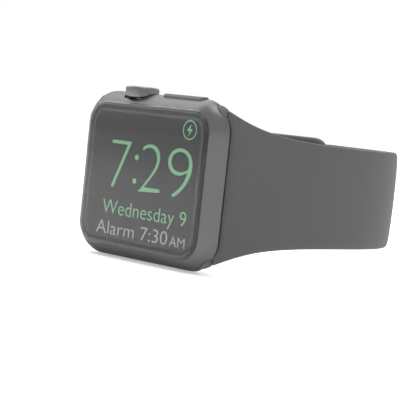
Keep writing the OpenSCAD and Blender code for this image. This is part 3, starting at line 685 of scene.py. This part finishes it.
def writeLine(name, words, left, low, height, width, thinning, finish):
    curve = bpy.data.curves.new(name, "FONT")
    curve.body = words
    curve.size = 1
    curve.resolution_u = 6
    curve.offset = thinning
    curve.extrude = 0
    holder = bpy.data.objects.new(name, curve)
    scene.collection.objects.link(holder)
    bpy.context.view_layer.update()
    mesh = bpy.data.meshes.new_from_object(holder.evaluated_get(bpy.context.evaluated_depsgraph_get()))
    bpy.data.objects.remove(holder)
    bpy.data.curves.remove(curve)
    bm = bmesh.new()
    bm.from_mesh(mesh)
    bpy.data.meshes.remove(mesh)
    xs = [v.co.x for v in bm.verts]
    ys = [v.co.y for v in bm.verts]
    bottom = min(ys) if min(ys) > -0.05 else 0      # a tail below the line doesn't count
    top = max(ys)
    bmesh.ops.translate(bm, vec=(-min(xs), -bottom, 0), verts=bm.verts)
    bmesh.ops.scale(bm, vec=(width / (max(xs) - min(xs)), height / (top - bottom), 1), verts=bm.verts)
    thicken(bm, list(bm.faces), (0, 0, screenSpec["depth"]))
    placeOnScreen(name, bm, left, low, finish)


for line in screenSpec["lines"]:
    writeLine(*line)


def makeColon():
    spec = screenSpec["colon"]
    for i, z in enumerate(spec["z"]):
        bm = bmesh.new()
        bmesh.ops.create_circle(bm, cap_ends=True, segments=24, radius=spec["size"])
        thicken(bm, list(bm.faces), (0, 0, screenSpec["depth"]))
        placeOnScreen("clockColon" + str(i + 1), bm, spec["x"], z, "clockGreen")


def makeChargeIcon():
    # A ring with a bolt inside, shown while the watch charges
    spec = screenSpec["icon"]
    bm = bmesh.new()
    bmesh.ops.create_circle(bm, cap_ends=True, segments=48, radius=spec["radius"])
    middle = list(bm.faces)[0]
    bmesh.ops.inset_region(bm, faces=[middle], thickness=spec["line"], use_even_offset=True,
                           use_boundary=True)
    bmesh.ops.delete(bm, geom=[middle], context="FACES")
    bm.faces.new([bm.verts.new(p) for p in spec["bolt"]])
    thicken(bm, list(bm.faces), (0, 0, screenSpec["depth"]))
    placeOnScreen("chargeIcon", bm, spec["x"], spec["z"], "clockGreen")


makeColon()
makeChargeIcon()
print("glass and clock face made")


# Each ring of the crown cap: radius, height above the skirt, share of the tooth depth
crownSpec = {"radius": 3.7, "root": 3.6, "teeth": 80, "skirtZ": 17.05, "topZ": 19.65,
             "toothRise": 1.6,
             "rings": [(1.5, 0.9, 0), (1.5, 0, 0), (1.9, 0, 0), (1.9, 0.55, 0), (3.0, 0.55, 0),
                       (3.0, 0, 0), (3.3, 0, 0), (3.45, 0.08, 0), (3.56, 0.24, 0), (3.6, 0.42, 0.6),
                       (3.6, 0.5, 1), (3.6, 1.98, 1), (3.6, 2.1, 0.7), (3.58, 2.2, 0.2), (3.5, 2.34, 0),
                       (3.4, 2.44, 0), (3.27, 2.52, 0), (3.12, 2.57, 0), (2.95, 2.6, 0), (2.88, 2.59, 0),
                       (2.85, 2.55, 0), (2.85, 2.15, 0)]}


def makeCrown():
    # The cap is built up ring by ring, then its disc well and shaft bore are pushed in
    spec = crownSpec
    step = spec["teeth"] * 4
    bm = bmesh.new()
    rings = []
    for radius, z, share in spec["rings"]:
        ring = []
        for i in range(step):
            angle = 2 * math.pi * i / step
            wave = 0.5 + 0.5 * math.cos(angle * spec["teeth"])
            reach = radius + (spec["radius"] - spec["root"]) * share * min(1, wave * spec["toothRise"])
            ring.append(bm.verts.new((reach * math.cos(angle), reach * math.sin(angle), z)))
        rings.append(ring)
    for low, high in zip(rings, rings[1:]):
        for i in range(step):
            k = (i + 1) % step
            bm.faces.new((low[i], low[k], high[k], high[i]))
    for ring in (rings[0], rings[-1]):
        bm.faces.new(ring)
    bmesh.ops.recalc_face_normals(bm, faces=bm.faces)
    bmesh.ops.translate(bm, vec=(crownX, midY, spec["skirtZ"]), verts=bm.verts)
    cap = newObject("crownCap", bm, 40)
    placePiece(cap, "crown", finishes["crownAluminium"], "button_aluminium", "crown_cap")
    disc = spun("crownDisc", [[0, 0], [2.83, 0], [2.83, 0.34], [2.79, 0.4], [2.7, 0.44], [2.4, 0.46],
                              [1.2, 0.47], [0, 0.475]], upright(crownX, midY, spec["topZ"] - 0.48), 72)
    placePiece(disc, "crown", finishes["crownDisc"], "crown_disc", "crown_insert")


makeCrown()
print("crown made")


def makeSideButton():
    spec = buttonSize
    button = prism("sideButton", pillOutline(spec["length"], spec["width"] / 2), 4,
                   upright(buttonX, midY, spec["skirtZ"]))
    cut(button, caseForm("buttonForm", spec["proud"]), operation="INTERSECT")
    stem = prism("buttonStem", discFace(spec["stemR"], 32), spec["skirtZ"] - spec["stemZ"] + 0.4,
                 upright(buttonX, midY, spec["stemZ"]))
    cut(button, stem, operation="UNION")
    for z, height in ((15.25, 0.3), (15.95, 0.4)):
        groove = prism("grooveRing", discFace(1.8, 32), height, upright(buttonX, midY, z))
        cut(groove, prism("grooveCore", discFace(0.55, 32), 2, upright(buttonX, midY, z - 1)))
        cut(button, groove)
    resharpen(button, 30)
    placePiece(button, "side_button", finishes["buttonAluminium"], "button_aluminium", "side_button")


def makeReleaseButton(side, name, body, node):
    spec = releaseSize
    turn = Matrix.Rotation(math.pi / 2, 4, "Z")
    button = prism(name, pillOutline(spec["length"], spec["radius"]), backY - spec["low"] - 0.5,
                   alongY(side * latchX, spec["low"] + 0.5, 0) @ turn)
    foot = prism("releaseFoot", pillOutline(spec["length"] - 1.2, spec["radius"] - 0.2), 0.8,
                 alongY(side * latchX, spec["low"] + 0.05, 0) @ turn)
    cut(button, foot, operation="UNION")
    cut(button, caseForm("releaseForm", 0.04), operation="INTERSECT")
    resharpen(button, 30)
    placePiece(button, body, finishes["buttonAluminium"], "button_aluminium", node)


makeSideButton()
makeReleaseButton(-1, "releaseButtonLeft", "release_left", "release_button_left")
makeReleaseButton(1, "releaseButtonRight", "release_right", "release_button_right")
print("buttons made")


crystalSpec = {"radius": 12.6, "rise": 3.3, "wall": 1.2, "windowR": 1.65, "spread": 2.3,
               "dome": [[1, 0.0], [1, 0.35], [0.975, 0.5], [0.9, 0.66], [0.77, 0.81], [0.6, 0.91],
                        [0.35, 0.98], [0.12, 1.0]]}


def domeRun(radius, rise):
    points = [[p[0] * radius, backY + p[1] * rise] for p in crystalSpec["dome"]]
    rounded = smoothRun(points[1:], 5)
    return [Vector(points[0])] + rounded + [Vector((0, backY + rise))]


def makeCrystal():
    spec = crystalSpec
    face = Matrix.Rotation(-math.pi / 2, 4, "X")
    outer = domeRun(spec["radius"], spec["rise"])
    inner = domeRun(spec["radius"] - spec["wall"], spec["rise"] - spec["wall"])
    crystal = spun("backCrystal", outer + list(reversed(inner)), face, 96)
    for sx in (-1, 1):
        for sz in (-1, 1):
            cut(crystal, prism("windowTool", discFace(spec["windowR"], 40), 8,
                               alongY(sx * spec["spread"], -4, sz * spec["spread"])))
    resharpen(crystal, 35)
    placePiece(crystal, "case", finishes["backCrystal"], "back_crystal", "back_crystal")


makeCrystal()
print("back crystal made")


bandSpec = {
    "near": [[20.2, 0.2], [24, 3.4], [30.5, 12.5], [30.5, 31]],
    "far": [[30.5, 31], [30.5, 52.5], [19.5, 64], [0, 64]],
    "width": 22, "flare": 10.4, "flareLength": 8.6, "thickness": 2.2,
    "pinAt": 94, "longEnd": 124, "shortEnd": 88, "keeper": [99.5, 112],
    "holeGap": 6.5, "holesEachWay": 3, "holeRadius": 2.1,
    "longLift": 1.2, "tailDrop": 2.9, "shortSink": 1.3,
    "tailWidth": 19.6, "keeperWidth": 24.6, "slotWidth": 20.6,
    "tipRadius": 8, "freeEndRadius": 5, "rootGap": 0.3, "step": 1.6, "rootCrown": 0.3, "rootLength": 10,
    "tailRun": [90, 99], "liftRun": [76, 87], "dropRun": [98, 113], "keeperRun": [113, 126],
    "sinkRun": [100, 116],
    "plateSink": 0.45, "pinR": 1.75, "plateR": 4, "curveSteps": 160,
    "section": [[-1, 1.15], [-0.997, 0.9], [-0.985, 0.68], [-0.955, 0.48], [-0.9, 0.34], [-0.78, 0.2],
                [-0.5, 0.08], [-0.22, 0.02], [0, 0], [0.22, 0.02], [0.5, 0.08], [0.78, 0.2], [0.9, 0.34],
                [0.955, 0.48], [0.985, 0.68], [0.997, 0.9], [1, 1.15], [0.995, 1.6], [0.98, 1.9],
                [0.955, 2.1], [0.92, 2.2], [0, 2.2], [-0.92, 2.2], [-0.955, 2.1], [-0.98, 1.9],
                [-0.995, 1.6]],
}


def onCurve(p, t):
    a, b, c, d = [Vector(q) for q in p]
    return (1 - t) ** 3 * a + 3 * (1 - t) ** 2 * t * b + 3 * (1 - t) * t * t * c + t ** 3 * d


def loopPoint(u):
    mirrored = u > 2
    u = 4 - u if mirrored else u
    p = onCurve(bandSpec["near"], u) if u <= 1 else onCurve(bandSpec["far"], u - 1)
    return Vector((-p.x if mirrored else p.x, p.y + midY))


curveSteps = bandSpec["curveSteps"]
loopPoints = [loopPoint(4 * i / curveSteps) for i in range(curveSteps + 1)]
loopRun = [0.0]
for first, second in zip(loopPoints, loopPoints[1:]):
    loopRun.append(loopRun[-1] + (second - first).length)
loopLength = loopRun[-1]


def loopAt(s):
    s = min(max(s, 0), loopLength)
    i = next((k for k in range(curveSteps) if loopRun[k + 1] >= s), curveSteps - 1)
    return loopPoint(4 * (i + (s - loopRun[i]) / (loopRun[i + 1] - loopRun[i])) / curveSteps)


def outwardAt(s):
    s = min(max(s, 0.4), loopLength - 0.4)
    d = (loopAt(s + 0.3) - loopAt(s - 0.3)).normalized()
    return Vector((d.y, -d.x))


def blendOver(a, b, s):
    # Rises from 0 at a to 1 at b, soft at both ends
    t = min(max((s - a) / (b - a), 0), 1)
    return t * t * (3 - 2 * t)


def endLoss(r, d):
    # What a round end of radius r takes off each side at d from its tip
    return 0 if d >= r else r - math.sqrt(max(r * r - (r - d) ** 2, 0))


def flareAt(d):
    return bandSpec["width"] + bandSpec["flare"] * math.exp(-(max(d, 0) / bandSpec["flareLength"]) ** 1.1)


def longWidth(s):
    narrowing = (bandSpec["width"] - bandSpec["tailWidth"]) * blendOver(*bandSpec["tailRun"], s)
    return flareAt(s) - narrowing - 2 * endLoss(bandSpec["tipRadius"], bandSpec["longEnd"] - s)


def longOffset(s):
    lift, drop = bandSpec["longLift"], bandSpec["tailDrop"]
    raised = lift * blendOver(*bandSpec["liftRun"], s)
    return raised - (lift + drop) * blendOver(*bandSpec["dropRun"], s)


def shortWidth(s):
    widening = (bandSpec["keeperWidth"] - bandSpec["width"]) * (1 - blendOver(*bandSpec["keeperRun"], s))
    loss = endLoss(bandSpec["freeEndRadius"], s - bandSpec["shortEnd"])
    return flareAt(loopLength - s) + widening - 2 * loss


def shortOffset(s):
    return -bandSpec["shortSink"] * (1 - blendOver(*bandSpec["sinkRun"], s))


def onLoop(s, offset):
    # Stands a shape's Z outwards on the loop at s
    p, n = loopAt(s), outwardAt(s)
    turn = Matrix.Rotation(math.atan2(n.y, n.x), 4, "Z") @ Matrix.Rotation(math.pi / 2, 4, "Y")
    return Matrix.Translation((p.x + n.x * offset, p.y + n.y * offset, 0)) @ turn


def sweepStrap(name, places, width, offset):
    # The section is drawn once and pushed along the loop, turned and widened at each place
    bm = bmesh.new()
    face = bm.faces.new([bm.verts.new((-q[1], 0, q[0])) for q in bandSpec["section"]])

    def station(s):
        p, n = loopAt(s), outwardAt(s)
        across = Matrix(((n.x, -n.y, 0, p.x + n.x * offset(s)), (n.y, n.x, 0, p.y + n.y * offset(s)),
                         (0, 0, 1, 0), (0, 0, 0, 1)))
        return across @ Matrix.Scale(width(s) / 2, 4, (0, 0, 1))

    def crowning(s):
        share = blendOver(0, bandSpec["rootLength"], min(s, loopLength - s))
        return bandSpec["rootCrown"] + (1 - bandSpec["rootCrown"]) * share

    def press(face, before, after):
        # Lays the section flat, crowns its outer side for the new place and stands it there
        bmesh.ops.transform(bm, matrix=before, verts=list(face.verts))
        for v in face.verts:
            if v.co.x > -1.1:
                v.co.x *= crowning(after) / crowningNow[0]
        crowningNow[0] = crowning(after)
        bmesh.ops.transform(bm, matrix=station(after), verts=list(face.verts))

    crowningNow = [1.0]
    press(face, Matrix.Identity(4), places[0])
    for before, after in zip(places, places[1:]):
        made = bmesh.ops.extrude_face_region(bm, geom=[face])["geom"]
        face = [g for g in made if isinstance(g, bmesh.types.BMFace)][0]
        press(face, station(before).inverted(), after)
    bmesh.ops.recalc_face_normals(bm, faces=bm.faces)
    return newObject(name, bm)


def evenPlaces(start, end):
    count = round((end - start) / bandSpec["step"])
    return [start + i * (end - start) / count for i in range(count + 1)]


def slideRoom(side):
    # What the end of the case sweeps as the band slides out
    reach = halfX + bandSpec["rootGap"]
    front = smoothRun(caseSpec["front"], 2)
    back = smoothRun(caseSpec["back"], 2)
    outline = [[0, glassLow.y - 1], [reach - 2.45, glassLow.y - 1]]
    outline += [[reach - p[0], midY + p[1]] for p in reversed(front)]
    outline += [[reach - p[0], midY + p[1]] for p in back[1:]] + [[0, backY]]
    bm = bmesh.new()
    face = bm.faces.new([bm.verts.new((side * p[0], p[1], -40)) for p in outline])
    thicken(bm, [face], (0, 0, 80))
    closeUp(bm)
    return newObject("slideRoom", bm)


def flaredHole(radius, middle, reach, matrix):
    # A punch with soft rims: wider where it meets both faces of the strap
    run = [[0, -reach - 4], [radius + 0.6, -reach - 4], [radius + 0.6, -reach],
           [radius + 0.3, -reach + 0.06], [radius + 0.1, -reach + 0.2], [radius, -reach + 0.45],
           [radius, reach - 0.45], [radius + 0.1, reach - 0.2], [radius + 0.3, reach - 0.06],
           [radius + 0.6, reach], [radius + 0.6, reach + 4], [0, reach + 4]]
    return spun("punch", run, matrix @ Matrix.Translation((0, 0, middle)), 40)


def roundedSlotTool(width, length, radius, matrix):
    bm = bmesh.new()
    corners = [bm.verts.new((sx * width / 2, sy * length / 2, -7))
               for sx, sy in ((-1, -1), (1, -1), (1, 1), (-1, 1))]
    bm.faces.new(corners)
    bmesh.ops.bevel(bm, geom=corners, offset=radius, offset_type="OFFSET", segments=8, profile=0.5,
                    affect="VERTICES", material=-1)
    thicken(bm, list(bm.faces), (0, 0, 14))
    bmesh.ops.transform(bm, matrix=matrix, verts=bm.verts)
    closeUp(bm)
    return newObject("keeperTool", bm)


def makeLongStrap():
    spec = bandSpec
    end = spec["longEnd"]
    places = evenPlaces(0, end - 8) + [end - d for d in (7, 6, 5, 4, 3, 2.2, 1.5, 0.9, 0.45, 0.15)]
    strap = sweepStrap("strapLong", places, longWidth, longOffset)
    half = spec["thickness"] / 2
    cut(strap, slideRoom(1))
    for i in range(-spec["holesEachWay"], spec["holesEachWay"] + 1):
        s = spec["pinAt"] + i * spec["holeGap"]
        cut(strap, flaredHole(spec["holeRadius"], -half, half, onLoop(s, longOffset(s))))
    resharpen(strap, 40)
    placePiece(strap, "band", finishes["strapRubber"], "strap_rubber", "strap_long")


def makeShortStrap():
    spec = bandSpec
    start = spec["shortEnd"]
    places = [start + d for d in (0.15, 0.45, 0.9, 1.5, 2.2, 3, 4)] + evenPlaces(start + 5, loopLength)
    strap = sweepStrap("strapShort", places, shortWidth, shortOffset)
    half = spec["thickness"] / 2
    middle = sum(spec["keeper"]) / 2
    base = shortOffset(spec["pinAt"]) - spec["thickness"] + spec["plateSink"]
    cut(strap, slideRoom(-1),
        prism("pinTool", discFace(spec["pinR"], 40), 12, onLoop(spec["pinAt"], shortOffset(spec["pinAt"]))
              @ Matrix.Translation((0, 0, -6))),
        prism("plateTool", discFace(spec["plateR"], 48), 3, onLoop(spec["pinAt"], base - 3)),
        roundedSlotTool(spec["slotWidth"], spec["keeper"][1] - spec["keeper"][0], 2,
                        onLoop(middle, shortOffset(middle))))
    resharpen(strap, 40)
    placePiece(strap, "band", finishes["strapRubber"], "strap_rubber", "strap_short")


def makePin():
    # Fastening stud: a low mushroom head on a short neck
    lift = bandSpec["longLift"]
    neck = lift + bandSpec["shortSink"] + bandSpec["thickness"] - bandSpec["plateSink"]
    stem = bandSpec["pinR"]
    run = [[0, -neck], [stem, -neck], [stem, 0.12], [2.7, 0.12], [2.92, 0.2], [3.0, 0.36], [2.97, 0.6],
           [2.84, 0.82], [2.6, 0.97], [2.2, 1.06], [1.2, 1.11], [0, 1.12]]
    pin = spun("strapPin", run, onLoop(bandSpec["pinAt"], lift), 56)
    placePiece(pin, "band", finishes["pinSteel"], "pin_steel", "strap_pin")


makeLongStrap()
makeShortStrap()
makePin()
print("band made, loop", round(loopLength, 1), "mm")


keptFinishes = {
    "gasketBlack": ["glass_gasket", "crown_seals", "side_button_seal"],
    "displayBlack": ["display_panel"],
    "shieldSteel": ["display_shield", "crown_bracket", "side_button_bracket", "haptic_housing"],
    "flexCopper": ["display_flex", "battery_flex"],
    "batteryFoil": ["battery"],
    "boardResin": ["system_package", "sensor_board"],
    "tungsten": ["haptic_mass"],
    "springSteel": ["haptic_springs", "crown_dome", "side_button_dome", "crown_circlip",
                    "side_button_clip", "latch_spring_left", "latch_spring_right"],
    "blackPlastic": ["speaker_module", "crown_encoder", "light_sensor"],
    "speakerGauze": ["speaker_mesh"],
    "microphoneCan": ["microphone"],
    "backComposite": ["back_cover"],
    "windowGlass": ["sensor_windows"],
    "ledLens": ["sensor_leds"],
    "coilCopper": ["charging_coil"],
    "ferrite": ["coil_shield"],
    "magnetNickel": ["alignment_magnet"],
    "bushingBrass": ["crown_bushing"],
    "turnedSteel": ["crown_shaft", "crown_plate", "bracket_screws"],
    "latchSteel": ["latch_left", "latch_right"],
    "strapRubber": ["lug_left", "lug_right"],
    "pinSteel": ["pin_backplate"],
}
replaced = {"case_shell", "front_glass", "crown_cap", "crown_insert", "side_button", "back_crystal",
            "release_button_left", "release_button_right", "strap_long", "strap_short", "strap_pin"}
finishOf = {node: finish for finish, nodes in keptFinishes.items() for node in nodes}
for node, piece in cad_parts.items():
    if node in replaced:
        continue
    piece.data.materials.clear()
    piece.data.materials.append(finishes[finishOf[node]])
print("parts finished:", len(finishOf))


def makeFloor():
    bm = bmesh.new()
    bmesh.ops.create_grid(bm, x_segments=8, y_segments=8, size=3.0)
    bmesh.ops.translate(bm, vec=(0, 0, cadBox[0][2] - 0.0002), verts=bm.verts)
    floor = newObject("studioFloor", bm)
    finish = makeFinish("floorPaper", (grey(0.9), grey(0.92)), (0.7, 0.8), grain=400, bump=0.02,
                        markScale=2, Emission_Color=grey(1.0), Emission_Strength=0.3)
    floor.data.materials.append(finish)


def makeLight(name, place, target, size, power):
    lamp = bpy.data.lights.new(name, "AREA")
    lamp.shape = "DISK"
    lamp.size = size
    lamp.energy = power
    holder = bpy.data.objects.new(name, lamp)
    scene.collection.objects.link(holder)
    aim = Vector(target) - Vector(place)
    holder.matrix_world = Matrix.Translation(place) @ aim.to_track_quat("-Z", "Y").to_matrix().to_4x4()


def makeCamera():
    spec = {"azimuth": 44.47, "elevation": 3.46, "roll": 6.2, "aside": 11.69, "lift": -6.37,
            "distance": 324.1, "lens": 129.3}
    az, el, roll = [math.radians(spec[k]) for k in ("azimuth", "elevation", "roll")]
    back = Vector((math.sin(az) * math.cos(el), -math.cos(az) * math.cos(el), math.sin(el)))
    right = Vector((math.cos(az), math.sin(az), 0))
    up = back.cross(right)
    right, up = (right * math.cos(roll) + up * math.sin(roll),
                 up * math.cos(roll) - right * math.sin(roll))
    place = right * spec["aside"] + up * spec["lift"] + back * spec["distance"] + Vector((0, midY, 0))
    lens = bpy.data.cameras.new("viewCamera")
    lens.lens = spec["lens"]
    lens.sensor_width = 36
    lens.clip_start = 0.01
    camera = bpy.data.objects.new("viewCamera", lens)
    scene.collection.objects.link(camera)
    turn = Matrix((right, up, back)).transposed().to_4x4()
    camera.matrix_world = Matrix.Translation(place * metre) @ turn
    bpy.context.scene.camera = camera


# Each lamp: name, place, target, diameter, watts
lampSpec = [
    ("topSoftbox", (0.05, 0.05, 0.7), (0, 0, 0), 0.5, 1.6),
    ("backSoftbox", (-0.4, 0.5, 0.45), (0, 0, 0.01), 0.45, 1.2),
    ("slopeSoftbox", (-0.42, 0.08, 0.42), (0, 0, 0), 0.55, 1.9),
]
makeFloor()
for lamp in lampSpec:
    makeLight(*lamp)
makeCamera()
world = bpy.data.worlds.new("studio")
world.use_nodes = True
world.node_tree.nodes["Background"].inputs["Color"].default_value = (1, 1, 1, 1)
world.node_tree.nodes["Background"].inputs["Strength"].default_value = 1.0
scene.world = world
scene.view_settings.view_transform = "Standard"
print("studio made")
